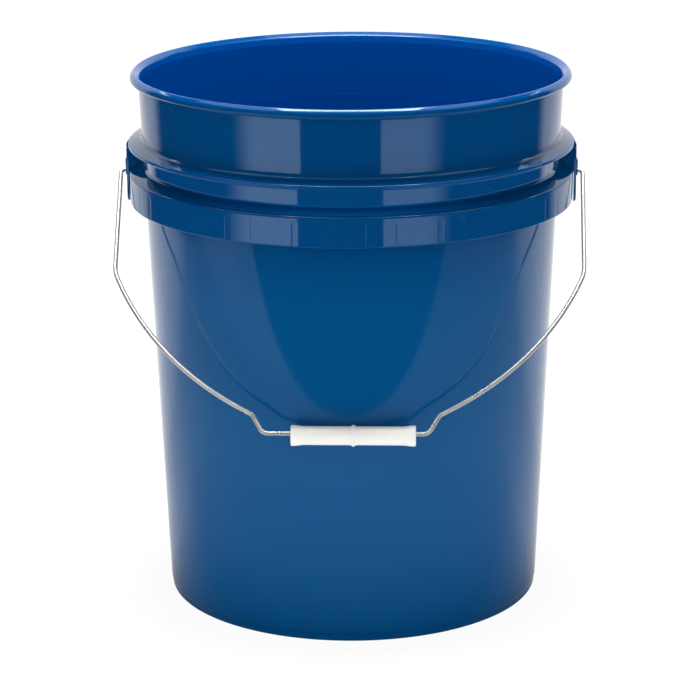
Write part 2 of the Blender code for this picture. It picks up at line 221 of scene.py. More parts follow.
def spun(section: Sequence[Vector], axis: Vector, segments: int, closed: bool = False) -> BMesh:
    """Turn a section a full circle about an axis through the origin.

    Args:
        section: Points of the section in order.
        axis: Direction of the axis.
        segments: Steps round the circle.
        closed: True if the section's last point joins its first.

    Returns:
        The turned mesh with its normals outwards.
    """
    bm = bmesh.new()
    verts = [bm.verts.new(p) for p in section]
    edges = [bm.edges.new(pair) for pair in zip(verts[:-1], verts[1:])]
    if closed:
        edges.append(bm.edges.new((verts[-1], verts[0])))
    turn = {"cent": (0.0, 0.0, 0.0), "axis": axis, "angle": 2.0 * math.pi, "steps": segments}
    bmesh.ops.spin(bm, geom=verts + edges, use_merge=True, **turn)
    bmesh.ops.remove_doubles(bm, verts=bm.verts, dist=0.001 * MM)
    bmesh.ops.recalc_face_normals(bm, faces=bm.faces)
    return bm


def soften(bm: BMesh, edges: list[BMEdge], width: float) -> None:
    """Round sharp edges of a mesh to a width."""
    bmesh.ops.bevel(bm, geom=edges, offset=width, segments=3, affect="EDGES", profile=0.5, material=-1)


def prism(bm: BMesh, outline: Sequence[Vector], along: Vector, edge: float = 0.0) -> None:
    """Add a closed prism swept from an outline, the rim of its far face rounded by an edge width."""
    base = bm.faces.new([bm.verts.new(p) for p in outline])
    grown = bmesh.ops.extrude_face_region(bm, geom=[base])["geom"]
    verts = [g for g in grown if isinstance(g, BMVert)]
    bmesh.ops.translate(bm, verts=verts, vec=along)
    far = [g for g in grown if isinstance(g, BMFace)]
    if edge > 0.0:
        soften(bm, list(far[0].edges), edge)


def to_object(name: str, bm: BMesh) -> Object:
    """Make a mesh object at the origin from a bmesh, link it to the scene and free the bmesh."""
    bmesh.ops.recalc_face_normals(bm, faces=bm.faces)
    mesh = bpy.data.meshes.new(name)
    bm.to_mesh(mesh)
    bm.free()
    obj = bpy.data.objects.new(name, mesh)
    bpy.context.scene.collection.objects.link(obj)
    return obj


def work(target: Object, tool: Object, cut: Cut) -> None:
    """Cut a tool, one closed solid or several, from the target or join it on, then remove it."""
    mod = target.modifiers.new("work", "BOOLEAN")
    mod.operation = cut.value
    mod.solver = "EXACT"
    mod.use_self = cut is Cut.TOGETHER
    mod.object = tool
    depsgraph = bpy.context.evaluated_depsgraph_get()
    old = target.data
    target.data = bpy.data.meshes.new_from_object(target.evaluated_get(depsgraph))
    target.modifiers.clear()
    bpy.data.meshes.remove(old)
    bpy.data.objects.remove(tool, do_unlink=True)


def smooth(obj: Object, crease_deg: float) -> None:
    """Shade an object smooth between creases sharper than an angle."""
    obj.data.shade_smooth()
    obj.data.set_sharp_from_angle(angle=math.radians(crease_deg))


@dataclass(frozen=True)
class MouldedPolyethylene:
    """Glossy injection-moulded polyethylene: deep colour with painted light and shade in places, faint
    flow waves and sink marks.
    """

    name: str = "moulded_blue_polyethylene"
    deep: str = "#004075"
    lively: str = "#00457e"
    # Painted shade on the top of the rim bead
    rim: str = "#00396e"
    # Painted light inside the pail
    inside: str = "#003f8b"
    # Painted light on the single wall below the rings
    single_wall_painted_light: str = "#004c82"
    # Painted light in the groove between the rings
    groove_painted_light: str = "#0069c2"
    scuff: str = "#3f76ab"
    sheen: Colour = (0.62, 0.82, 1.0, 1.0)
    ior: float = 1.53
    rough_span: Span = (0.045, 0.075)
    haze_mm: float = 24.0
    single_wall_z: Span = (0.28, 0.234)
    bead_z: Span = (0.366, 0.364)
    wall_z: Span = (0.0, 0.369)
    mid_wall_r: Span = (0.1288, 0.1445)
    inner_depth: Span = (-0.2 * MM, 0.4 * MM)
    groove_mid_z: float = 0.3045
    groove_half: Span = (5.5 * MM, 5.0 * MM)
    groove_depth: Span = (-10.0 * MM, -8.0 * MM)
    groove_x: Span = (0.03, 0.105)
    groove_lift: Span = (1.0, 0.1)
    stroke_mm: float = 1.6
    stroke_shape: Triple = (1.0, 1.0, 0.12)
    stroke_cut: Span = (0.7, 0.8)
    stroke_level: Span = (0.0, 0.22)
    patch_mm: float = 90.0
    patch_cut: Span = (0.56, 0.7)
    drift_mm: float = 140.0
    wave_deep: float = 0.1 * MM
    peel_mm: float = 2.2
    peel_deep: float = 0.0012 * MM
    sink_pitch_deg: float = 6.0
    sink_share: Span = (0.08, 0.14)
    sink_deep: Span = (-0.06 * MM, 0.0)
    sink_low_z: Span = (0.279, 0.281)
    sink_high_z: Span = (0.296, 0.294)

    def material(self) -> Material:
        """Build the node material."""
        mat = bpy.data.materials.new(self.name)
        node = emptied(mat)
        place = node("TexCoord").outputs["Object"]
        axes = node("SeparateXYZ", Vector=place)
        # Pigment drifts a little over the moulding, wider than a hand
        drift = node("TexNoise", Vector=place, Scale=per(self.drift_mm), Detail=2.0)
        scuffed = self._scuffs(node, place)
        colour = node(
            "Mix", Does.COLOUR, _0=scuffed, _6=self._blue(node, axes, drift), _7=linear(self.scuff)
        )
        haze = node("TexNoise", Vector=place, Scale=per(self.haze_mm), Detail=4.0)
        gloss = node("MapRange", Value=haze, **ends((0.0, 1.0), self.rough_span))
        rough = node("Math", Does.ADD, _0=gloss, _1=scuffed)
        height = self._height(node, place, axes, drift)
        bump = node("Bump", Strength=1.0, Distance=1.0, Height=height)
        shader = node(
            "BsdfPrincipled",
            Base_Color=colour,
            Roughness=rough,
            Normal=bump,
            IOR=self.ior,
            Specular_Tint=self.sheen,
        )
        node("OutputMaterial", Surface=shader)
        return mat

    def _blue(self, node: Adder, axes: Node, drift: Node) -> Node:
        """Colour of the clean plastic with painted light and shade, by where on the pail it lies.

        Args:
            node: Adds a node to the material.
            axes: The object coordinates, one by one.
            drift: The slow noise of the pigment.

        Returns:
            The colour node.
        """
        x, y, z = axes.outputs
        blue = node("Mix", Does.COLOUR, _0=drift, _6=linear(self.deep), _7=linear(self.lively))
        # Painted light and shade: the single wall below the rings is coloured lighter, standing in for
        # light through it, and fades back to the deeper blue just under the rings as painted shade
        # there
        below = node("MapRange", Value=z, **ends(self.single_wall_z))
        wall = node("Mix", Does.COLOUR, _0=below, _6=blue, _7=linear(self.single_wall_painted_light))
        # Painted shade: the top of the rim bead is coloured deeper than the walls, to hold down the
        # overhead light that falls on it
        under_rim = node("MapRange", Value=z, **ends(self.bead_z))
        outer = node("Mix", Does.COLOUR, _0=under_rim, _6=linear(self.rim), _7=wall)
        # Painted light: the inside is coloured a livelier, more saturated blue, standing in for light
        # bouncing between its blue walls
        flat = node("CombineXYZ", X=x, Y=y)
        radius = node("VectorMath", Does.LENGTH, _0=flat)
        taper = node("MapRange", Does.UNBOUND, Value=z, **ends(self.wall_z, self.mid_wall_r))
        depth = node("Math", Does.TAKE, _0=taper, _1=radius)
        inner = node("MapRange", Value=depth, **ends(self.inner_depth))
        within = node("Math", Does.TIMES, _0=inner, _1=under_rim)
        blue = node("Mix", Does.COLOUR, _0=within, _6=outer, _7=linear(self.inside))
        # Painted light: the groove between the rings is coloured lighter, standing in for light through
        # the thin upper ring, and fades out towards the ears
        rise = node("Math", Does.TAKE, _0=z, _1=self.groove_mid_z)
        off = node("Math", Does.UNSIGNED, _0=rise)
        band = node("MapRange", Value=off, **ends(self.groove_half))
        deep_in = node("MapRange", Value=depth, **ends(self.groove_depth))
        skin = node("Math", Does.TAKE, _0=deep_in, _1=within)
        ring = node("Math", Does.TIMES, _0=band, _1=skin)
        aside = node("Math", Does.UNSIGNED, _0=x)
        lift = node("MapRange", Value=aside, **ends(self.groove_x, self.groove_lift))
        lifted = node("Math", Does.TIMES, _0=ring, _1=lift)
        return node("Mix", Does.COLOUR, _0=lifted, _6=blue, _7=linear(self.groove_painted_light))

    def _scuffs(self, node: Adder, place: NodeSocket) -> Node:
        """Handling scuffs: short fine strokes, only where a broad patch lets them show."""
        drawn = node("Mapping", Vector=place, Scale=self.stroke_shape)
        stroke = node("TexNoise", Vector=drawn, Scale=per(self.stroke_mm), Detail=2.0)
        patch = node("TexNoise", Vector=place, Scale=per(self.patch_mm), Detail=3.0)
        shown = node("MapRange", Value=stroke, **ends(self.stroke_cut, self.stroke_level))
        where = node("MapRange", Value=patch, **ends(self.patch_cut))
        return node("Math", Does.TIMES, _0=shown, _1=where)

    def _height(self, node: Adder, place: NodeSocket, axes: Node, drift: Node) -> Node:
        """Surface height in metres: slow waves, fine peel and the sink marks over the gussets.

        Args:
            node: Adds a node to the material.
            place: Object coordinates.
            axes: The object coordinates, one by one.
            drift: The slow noise that also drifts the pigment.

        Returns:
            The height node.
        """
        x, y, z = axes.outputs
        wave = node("Math", Does.TIMES, _0=drift, _1=self.wave_deep)
        peel = node("TexNoise", Vector=place, Scale=per(self.peel_mm), Detail=1.0)
        grain = node("Math", Does.TIMES, _0=peel, _1=self.peel_deep)
        turn = node("Math", Does.ANGLE, _0=y, _1=x)
        pitch = math.radians(self.sink_pitch_deg)
        step = node("Math", Does.FOLD, _0=turn, _1=0.5 * pitch)
        edge = (self.sink_share[0] * pitch, self.sink_share[1] * pitch)
        dip = node("MapRange", Does.EASED, Value=step, **ends(edge, self.sink_deep))
        above = node("MapRange", Value=z, **ends(self.sink_low_z))
        below = node("MapRange", Value=z, **ends(self.sink_high_z))
        band = node("Math", Does.TIMES, _0=above, _1=below)
        sink = node("Math", Does.TIMES, _0=dip, _1=band)
        slow = node("Math", Does.ADD, _0=wave, _1=grain)
        return node("Math", Does.ADD, _0=slow, _1=sink)


@dataclass(frozen=True)
class CloudedFinish:
    """Finish in two tones that drift into each other, with uneven gloss and a fine grain."""

    name: str
    tones: tuple[str, str]
    cloud_mm: float
    grain_mm: float
    grain_detail: float
    grain_strength: float
    grain_deep: float
    rough_span: Span
    body: tuple[tuple[str, float], ...]

    def material(self) -> Material:
        """Build the node material."""
        mat = bpy.data.materials.new(self.name)
        node = emptied(mat)
        place = node("TexCoord").outputs["Object"]
        cloud = node("TexNoise", Vector=place, Scale=per(self.cloud_mm), Detail=3.0)
        grain = node("TexNoise", Vector=place, Scale=per(self.grain_mm), Detail=self.grain_detail)
        first, second = self.tones
        colour = node("Mix", Does.COLOUR, _0=cloud, _6=linear(first), _7=linear(second))
        rough = node("MapRange", Value=cloud, **ends((0.0, 1.0), self.rough_span))
        bump = node("Bump", Strength=self.grain_strength, Distance=self.grain_deep, Height=grain)
        shader = node(
            "BsdfPrincipled", Base_Color=colour, Roughness=rough, Normal=bump, **dict(self.body)
        )
        node("OutputMaterial", Surface=shader)
        return mat


# Zinc-plated drawn steel wire: bright cool grey metal, a little dull where the plating is cloudy
ZINC_WIRE = CloudedFinish(
    name="zinc_plated_steel_wire",
    tones=("#e6e6e4", "#d2d2cf"),
    cloud_mm=14.0,
    grain_mm=0.9,
    grain_detail=3.0,
    grain_strength=0.15,
    grain_deep=0.001 * MM,
    rough_span=(0.238, 0.336),
    body=(("Metallic", 0.75),),
)

# Plain white moulded polyethylene: slightly warm, softly glossy, a little light enters its skin
WHITE_POLYETHYLENE = CloudedFinish(
    name="white_moulded_polyethylene",
    tones=("#f4f3ee", "#eeede8"),
    cloud_mm=18.0,
    grain_mm=0.8,
    grain_detail=2.0,
    grain_strength=0.4,
    grain_deep=0.01 * MM,
    rough_span=(0.264, 0.396),
    body=(("IOR", 1.51), ("Subsurface_Weight", 0.15), ("Subsurface_Scale", 1.5 * MM)),
)


@dataclass(frozen=True)
class WhiteTable:
    """White table top with a faint shadow; in gloss its glow is painted light, dim in front and white
    at the back, with a painted shadow round the pail.
    """

    name: str = "white_table"
    albedo: float = 0.7
    shadow_albedo: float = 0.07
    sweep_y: Span = (-0.1, 0.5)
    sweep_level: Span = (0.47, 0.95)
    painted_shadow_r: Span = (0.14, 0.44)
    behind_y: Span = (-0.12, 0.04)
    far_r: Span = (0.25, 0.85)
    far_level: Span = (1.0, 0.4)
    left_way: Triple = (-0.5, -0.87, 0.0)
    left_reach: Span = (0.46, 0.66)
    rear_y: Span = (0.0, 0.25)
    clear_r: Span = (0.3, 1.2)
    clear_level: Span = (0.93, 1.0)

    def material(self) -> Material:
        """Build the node material."""
        mat = bpy.data.materials.new(self.name)
        node = emptied(mat)
        place = node("TexCoord").outputs["Object"]
        y = node("SeparateXYZ", Vector=place).outputs["Y"]
        away = node("VectorMath", Does.LENGTH, _0=place)
        # In gloss the glow is painted light: dimmer towards the front and far off, kept bright to the
        # front left and at the back, and a painted shadow darkens it round the front of the pail's foot
        sweep = node("MapRange", Value=y, **ends(self.sweep_y, self.sweep_level))
        near = node("MapRange", Value=away, **ends(self.painted_shadow_r))
        behind = node("MapRange", Value=y, **ends(self.behind_y))
        outside_painted_shadow = node("Math", Does.MOST, _0=near, _1=behind)
        far = node("MapRange", Value=away, **ends(self.far_r, self.far_level))
        lean = node("VectorMath", Does.DOT, _0=place, _1=self.left_way)
        left = node("MapRange", Value=lean, **ends(self.left_reach))
        rear = node("MapRange", Value=y, **ends(self.rear_y))
        keep = node("Math", Does.MOST, _0=left, _1=rear)
        reach = node("Math", Does.MOST, _0=keep, _1=far)
        lit_air = node("Math", Does.TIMES, _0=outside_painted_shadow, _1=reach)
        dim = node("Math", Does.TIMES, _0=sweep, _1=lit_air)
        clear = node("MapRange", Value=away, **ends(self.clear_r, self.clear_level))
        eye = node("LightPath").outputs["Is Camera Ray"]
        level = node("Mix", _0=eye, _2=dim, _3=clear)
        lit, shade = (
            node("BsdfDiffuse", Color=(grey, grey, grey, 1.0))
            for grey in (self.albedo, self.shadow_albedo)
        )
        glow = node("Emission", Color=WHITE, Strength=level)
        bright = node("AddShader", _0=shade, _1=glow)
        both = node("MixShader", _0=seen(node), _1=lit, _2=bright)
        node("OutputMaterial", Surface=both)
        return mat


@dataclass
class Pail:
    """The moulded pail: tapered wall, foot, rim bead, two hollow rings and the ears."""

    height: float
    rim_r: float = 0.151
    base_r: float = 0.13
    wall: float = 0.0023
    floor_t: float = 0.0024
    floor_fillet: float = 0.005
    floor_hub: float = 0.004
    gate: Line = ((0.0, -0.0006), (0.0022, -0.0006), (0.0028, 0.0004), (0.0075, 0.0004), (0.0085, 0.0))
    recess_round: float = 0.0008
    foot_lift: float = 0.003
    foot_w: float = 0.0072
    foot_edge: float = 0.0004
    foot_round: float = 0.001
    foot_step: float = 0.0005
    foot_step_z: Triple = (0.0046, 0.0052, 0.006)
    rim_proud: float = 0.0056
    rim_depth: float = 0.0065
    neck_drops: Span = (0.017, 0.0014)
    bead_root: Line = ((0.0003, -0.0004), (0.0011, 0.0))
    bead_round: float = 0.0018
    crest: Line = ((0.0002, 0.0028), (0.003, 0.00025))
    mouth: Line = ((0.0008, 0.0031), (0.0, 0.0075))
    crest_rounds: tuple[float, ...] = (0.0, 0.004, 0.0012, 0.0025, 0.0)
    inner_line_z: float = 0.003
    inner_line_tall: float = 0.001
    inner_line_proud: float = 0.0001
    lip_drop: float = 0.049
    lip_proud: float = 0.0078
    lip_round: float = 0.0012
    lip_sweep: float = 70.0
    lip_step: float = 0.0004
    lip_edge: Line = ((1.0, 0.0028), (0.25, 0.002))
    flare_rise: float = 0.01
    flare_share: float = 0.4
    flare_back: float = 0.0008
    flare_turn: Line = ((-0.0003, -0.0004), (0.0, -0.0012))
    shelf_rise: float = 0.0031
    shelf_round: float = 0.0035
    shelf_top: float = 0.012
    upper_skirt: float = 0.014
    upper_draft: float = 0.0002
    skirt_rise: float = 0.005
    skirt_rise_from: float = 0.0025
    skirt_edge: float = 0.0012
    skirt_turn: float = 0.0028
    skirt_turn_deg: float = 9.0
    edge_share: float = 0.9
    edge_in: float = 0.0005
    edge_out: float = 0.0006
    ring_gap: float = 0.0064
    ring_wall: float = 0.0019
    lower_skirt: float = 0.0206
    lower_inset: float = 0.0005
    lower_draft: float = 0.0001
    hollow_round: float = 0.001
    crown_round: float = 0.0016
    crown_sweep: float = 64.0
    ledge_rise: float = 0.004
    ledge_round: float = 0.0025
    ledge_end: float = 0.0035
    gussets: int = 60
    gusset_t: float = 0.0012
    gusset_up: float = 0.0045
    gusset_slant: float = 0.006
    gusset_lean: float = 0.0006
    segments: int = 360
    hold: float = 0.4 * MM
    crease_deg: float = 32.0
    finish: MouldedPolyethylene = MouldedPolyethylene()

    def __post_init__(self) -> None:
        """Work out the radii and heights that the sections share."""
        # Wall under the rim bead, and the bead's underside
        self.neck_r = self.rim_r - self.rim_proud
        self.bead_z = self.height - self.rim_depth
        # Lip of the upper ring, and the lower edge of its skirt at the front
        self.lip_r = self.neck_r + self.lip_proud
        self.lip_z = self.height - self.lip_drop
        self.upper_bot_z = self.lip_z - self.upper_skirt
        # Lower ring at its top, and the lower edge of its skirt
        self.lower_r = self.lip_r - self.lower_inset
        self.lower_top_z = self.upper_bot_z - self.ring_gap
        self.lower_bot_z = self.lower_top_z - self.lower_skirt

    def wall_r(self, z: float) -> float:
        """Outer radius of the tapered wall at height z."""
        return self.base_r + (self.neck_r - self.base_r) * z / self.bead_z

    def inner_r(self, z: float) -> float:
        """Inner radius of the tapered wall at height z."""
        return self.wall_r(z) - self.wall

    def section(self) -> list[Point]:
        """Section as radius and height: from the axis under the floor, round, to the axis on it."""
        line = self._foot() + self._lower_ring() + self._upper_ring() + self._rim() + self._inside()
        return held(line, self.hold)

    def _foot(self) -> list[Point]:
        """Underside with its gate mark, foot ring and the small step above it."""
        inner, lift, soft = self.base_r - self.foot_w, self.foot_lift, self.recess_round
        line = [(r, lift + z) for r, z in self.gate]
        line += [(0.4 * inner, lift), (0.8 * inner, lift), (inner - 2.25 * soft, lift)]
        line += arc(inner - 1.5 * soft, lift - soft, soft, 90.0, 20.0, 3)
        line += [(inner, self.foot_edge), (inner + self.foot_edge, 0.0)]
        outer, soft = self.base_r - self.foot_step, self.foot_round
        line += arc(outer - soft, soft, soft, -90.0, 0.0, 5)
        low, mid, high = self.foot_step_z
        mid_r = self.wall_r(mid) - 0.4 * self.foot_step
        return line + [(outer, low), (mid_r, mid), (self.wall_r(high), high)]

    def _skirt_end(self, radius: float, bottom: float) -> list[Point]:
        """Lower edge of a ring's skirt, from its inner face round to its outer one."""
        soft, inner = self.edge_in, radius - self.edge_share * self.ring_wall
        line = arc(inner + soft, bottom + soft, soft, 180.0, 270.0, 3)
        soft = self.edge_out
        return line + arc(radius - soft, bottom + soft, soft, -90.0, 0.0, 3)

    def _lower_ring(self) -> list[Point]:
        """Wall and the hollow lower ring up to its sloping ledge."""
        top, bottom = self.lower_top_z, self.lower_bot_z
        line = [(self.wall_r(share * bottom), share * bottom) for share in (0.25, 0.5, 0.75)]
        soft, under = self.hollow_round, top - self.ring_wall
        line += [(self.wall_r(under - soft), under - soft)]
        line += arc(self.wall_r(under) + soft, under - soft, soft, 180.0, 90.0, 3)
        line += arc(self.lower_r - self.ring_wall - soft, under - soft, soft, 90.0, 0.0, 3)
        line += self._skirt_end(self.lower_r - self.lower_draft, bottom)
        soft = self.crown_round
        line += arc(self.lower_r - soft, top - soft, soft, 0.0, self.crown_sweep, 6)
        root = top + self.ledge_rise
        end = root + self.ledge_end
        ledge = [line[-1], (self.wall_r(root), root), (self.wall_r(end), end)]
        return line + rounded(ledge, [0.0, self.ledge_round, 0.0], 8)[1:]

    def _under_flare(self) -> list[Point]:
        """Underside of the shoulder inside the upper ring, from the wall out to the skirt."""
        top = self.lip_z + self.flare_rise
        neck = self.wall_r(top)
        sweep = 2.0 * math.atan((self.lip_r - self.lip_round - neck) / self.flare_rise)
        radius = self.flare_rise / math.sin(sweep)
        centre, reach = neck + radius, radius + self.ring_wall
        first = self.wall_r(self.lip_z + self.flare_share * self.flare_rise)
        last = self.lip_r - self.ring_wall - self.flare_back
        start, end = (180.0 + math.degrees(math.acos((centre - r) / reach)) for r in (first, last))
        return arc(centre, top, reach, start, end, 8)

    def _upper_ring(self) -> list[Point]:
        """Hollow upper ring with its skirt, lip and flared shoulder, up to the neck."""
        lip_r, lip_z, soft = self.lip_r, self.lip_z, self.lip_round
        line = self._under_flare()
        inner, under = lip_r - self.ring_wall, line[-1][1]
        line += [(inner + r, under + z) for r, z in self.flare_turn]
        line += self._skirt_end(lip_r - self.lip_step - self.upper_draft, self.upper_bot_z)
        line += [(lip_r - share * self.lip_step, lip_z - drop) for share, drop in self.lip_edge]
        line += arc(lip_r - soft, lip_z - soft, soft, 0.0, self.lip_sweep, 6)
        root, top = lip_z + self.shelf_rise, lip_z + self.shelf_top
        shelf = [line[-1], (self.wall_r(root), root), (self.wall_r(top), top)]
        return line + rounded(shelf, [0.0, self.shelf_round, 0.0], 10)[1:]

    def _rim(self) -> list[Point]:
        """Neck, rim bead with its narrow crest, and the rounded mouth."""
        bead, top, soft = self.bead_z, self.height, self.bead_round
        line = [(self.wall_r(bead - drop), bead - drop) for drop in self.neck_drops]
        line += [(self.neck_r + r, bead + z) for r, z in self.bead_root]
        line += arc(self.rim_r - soft, bead + soft, soft, -90.0, 0.0, 6)
        crest = [line[-1]] + [(self.rim_r - back, top - drop) for back, drop in self.crest]
        crest += [(self.inner_r(top) + out, top - drop) for out, drop in self.mouth]
        return line + rounded(crest, self.crest_rounds, 8)[1:]

    def _inside(self) -> list[Point]:
        """Inner wall with its faint line at the shoulder, floor fillet and floor."""
        floor, soft = self.foot_lift + self.floor_t, self.floor_fillet
        low = self.lip_z + self.inner_line_z
        high = low + self.inner_line_tall
        base = self.inner_r(floor + soft)
        line = [(self.inner_r(high), high), (self.inner_r(low) - self.inner_line_proud, low)]
        line += [(self.inner_r(share * self.height), share * self.height) for share in (0.6, 0.4, 0.2)]
        line += arc(base - soft, floor + soft, soft, 0.0, -90.0, 8)
        return line + [(r, floor) for r in (0.7 * base, 0.35 * base, self.floor_hub, 0.0)]

    def build(self, ears: "Ears") -> Object:
        """Turn the section, cut the ears' openings and holes and join on their tabs."""
        section = [Vector((r, 0.0, z)) for r, z in self.section()]
        bm = spun(section, Vector((0.0, 0.0, 1.0)), self.segments)
        self._lift_skirt(bm, ears.notch_deg)
        pail = to_object("pail_shell", bm)
        work(pail, ears.openings(self), Cut.AWAY)
        work(pail, ears.tabs(self), Cut.TOGETHER)
        work(pail, ears.holes(self), Cut.AWAY)
        smooth(pail, self.crease_deg)
        return pail

    def _lift_skirt(self, bm: BMesh, end_deg: float) -> None:
        """Raise the upper skirt's lower edge towards the ears and turn its ends inwards.

        Args:
            bm: The turned pail.
            end_deg: Angle from X at which the skirt ends beside an ear.
        """
        low, edge = self.upper_bot_z - 0.1 * MM, self.upper_bot_z + self.skirt_edge
        high = self.lip_z - self.skirt_rise_from
        for vert in bm.verts:
            radius = math.hypot(vert.co.x, vert.co.y)
            if radius < self.lip_r - 2.0 * self.ring_wall or not low <= vert.co.z < high:
                continue
            share = min(1.0, (high - vert.co.z) / (high - edge))
            vert.co.z += share * self.skirt_rise * (vert.co.x / radius) ** 2
            away = math.degrees(math.atan2(abs(vert.co.y), abs(vert.co.x))) - end_deg
            near = min(1.0, max(0.0, 1.0 - away / self.skirt_turn_deg))
            shrink = 1.0 - self.skirt_turn * near * near / radius
            vert.co.x *= shrink
            vert.co.y *= shrink

    def build_gussets(self) -> Object:
        """Thin plates, in one object, that stiffen the lower ring's hollow clear of the ears."""
        bm = bmesh.new()
        # The plates end inside the walls that they join
        top, low = self.lower_top_z - 0.6 * self.ring_wall, self.lower_bot_z + self.gusset_up
        outer = self.lower_r - 0.7 * self.ring_wall
        inner = self.wall_r(self.lower_top_z) - 0.4 * self.wall
        outline = [(inner, top), (outer, top), (outer - 0.7 * self.lower_draft, low)]
        outline += [(inner - self.gusset_lean, low + self.gusset_slant)]
        half = 0.5 * self.gusset_t
        for i in range(self.gussets):
            if i % (self.gussets // 2) == 0:
                continue
            turn = Matrix.Rotation(2.0 * math.pi * i / self.gussets, 4, "Z")
            ring = [turn @ Vector((r, -half, z)) for r, z in outline]
            prism(bm, ring, turn @ Vector((0.0, self.gusset_t, 0.0)) - turn @ Vector())
        return to_object("ring_gussets", bm)


@dataclass
class Ears:
    """Ears of the pail: tab with a raised pad, two webs behind it, wire hole and open pocket."""

    pivot_z: float
    notch_deg: float = 27.5
    notch_below: float = 0.003
    notch_top: float = 0.0032
    notch_in: float = 0.0042
    notch_out: float = 0.004
    tab_proud: float = 0.0016
    tab_t: float = 0.0017
    tab_w: float = 0.016
    tab_drop: float = 0.0055
    tab_len: float = 0.0385
    tab_rounds: Span = (0.0015, 0.006)
    tab_edge: float = 0.0005
    neck_sunk: float = 0.0007
    neck_low: float = 0.001
    neck_bend: float = 0.0026
    neck_top: float = 0.0049
    neck_round: float = 0.004
    pad_t: float = 0.0012
    pad_w: float = 0.008
    pad_up: float = 0.0085
    pad_down: float = 0.0034
    pad_rounds: Span = (0.002, 0.0032)
    pad_edge: float = 0.0004
    web_t: float = 0.0018
    web_y: float = 0.0068
    web_drop: float = 0.0018
    web_flat: float = 0.002
    web_slope: float = 0.7
    pocket_depth: float = 0.013
    pocket_in: float = 0.0006
    pocket_out: float = 0.0004
    pocket_over: float = 0.0008
    hole_r: float = 0.00215
    hole_sides: int = 48
    hole_back: float = 0.0015
    hole_long: float = 0.008

    def tab_out(self, pail: Pail) -> float:
        """X of the tab's outer face."""
        return pail.lip_r + self.tab_proud

    def tab_in(self, pail: Pail) -> float:
        """X of the tab's inner face."""
        return self.tab_out(pail) - self.tab_t

    def openings(self, pail: Pail) -> Object:
        """Solids that take the upper skirt away round each ear and open the pocket behind each tab.

        Args:
            pail: The pail they are cut from.

        Returns:
            All the cutters as one object.
        """
        bm = bmesh.new()
        low, high = pail.upper_bot_z - self.notch_below, pail.lip_z - self.notch_top
        inner, outer = pail.lip_r - pail.ring_wall - self.notch_in, pail.lip_r + self.notch_out
        reach = self.notch_deg
        ring = arc(0.0, 0.0, outer, -reach, reach, 24) + arc(0.0, 0.0, inner, reach, -reach, 24)
        half = self.web_y - 0.5 * self.web_t
        x0 = pail.wall_r(pail.lower_top_z) + self.pocket_in
        x1 = self.tab_in(pail) - self.pocket_out
        box = [(x0, -half), (x1, -half), (x1, half), (x0, half)]
        floor = pail.lower_top_z - self.pocket_depth
        up = Vector((0.0, 0.0, self.pocket_depth + pail.ledge_rise + self.pocket_over))
        for side in Side:
            s = side.value
            prism(bm, [Vector((s * x, y, low)) for x, y in ring], Vector((0.0, 0.0, high - low)))
            prism(bm, [Vector((s * x, y, floor)) for x, y in box], up)
        return to_object("ear_openings", bm)

    def _plate(self, half_w: float, top: float, bottom: float, rounds: Span) -> list[Point]:
        """Outline of an upright plate with rounded corners, as Y and Z."""
        upper, lower = rounds
        line = arc(half_w - lower, bottom + lower, lower, -90.0, 0.0, 8)
        line += arc(half_w - upper, top - upper, upper, 0.0, 90.0, 5)
        line += arc(upper - half_w, top - upper, upper, 90.0, 180.0, 5)
        return line + arc(lower - half_w, bottom + lower, lower, 180.0, 270.0, 8)

    def _web(self, pail: Pail) -> list[Point]:
        """Outline of a web between the wall and the tab, as X and Z."""
        inner = pail.wall_r(pail.lower_top_z) - 0.4 * pail.wall
        outer, top = self.tab_in(pail) + 0.35 * self.tab_t, pail.lip_z - self.web_drop
        foot, flat = pail.lower_top_z - 0.5 * pail.ring_wall, outer - self.web_flat
        root = top + self.web_slope * (flat - inner)
        return [(inner, foot), (outer, foot), (outer, top), (flat, top), (inner, root)]

    def _neck(self, pail: Pail, top: float) -> list[Point]:
        """Outline of the bent neck that carries the tab's top on the ring, as X and Z."""
        inner, outer = pail.lip_r - self.neck_sunk, self.tab_out(pail)
        low, high = top - self.neck_low, top + self.neck_top
        bend = [(outer, top - 0.5 * self.neck_low), (outer, top + self.neck_bend), (pail.lip_r, high)]
        line = [(inner, low), (outer, low)] + rounded(bend, [0.0, self.neck_round, 0.0], 5)
        return line + [(inner, high)]

    def tabs(self, pail: Pail) -> Object:
        """Tabs, pads and webs of both ears.

        Args:
            pail: The pail they are joined to.

        Returns:
            The solids as one object.
        """
        bm = bmesh.new()
        tab_in, tab_out = self.tab_in(pail), self.tab_out(pail)
        top, pivot = pail.lip_z - self.tab_drop, self.pivot_z
        tab = self._plate(0.5 * self.tab_w, top, top - self.tab_len, self.tab_rounds)
        pad = self._plate(0.5 * self.pad_w, pivot + self.pad_up, pivot - self.pad_down, self.pad_rounds)
        root = tab_out - 0.5 * self.tab_t
        reach = tab_out + self.pad_t - root
        neck, web = self._neck(pail, top), self._web(pail)
        half = 0.5 * self.tab_w - self.tab_rounds[0]
        for side in Side:
            s = side.value
            face = [Vector((s * tab_in, y, z)) for y, z in tab]
            prism(bm, face, Vector((s * self.tab_t, 0.0, 0.0)), self.tab_edge)
            face = [Vector((s * root, y, z)) for y, z in pad]
            prism(bm, face, Vector((s * reach, 0.0, 0.0)), self.pad_edge)
            face = [Vector((s * x, -half, z)) for x, z in neck]
            prism(bm, face, Vector((0.0, 2.0 * half, 0.0)))
            for y in (-self.web_y, self.web_y):
                face = [Vector((s * x, y - 0.5 * self.web_t, z)) for x, z in web]
                prism(bm, face, Vector((0.0, self.web_t, 0.0)))
        return to_object("ear_tabs", bm)

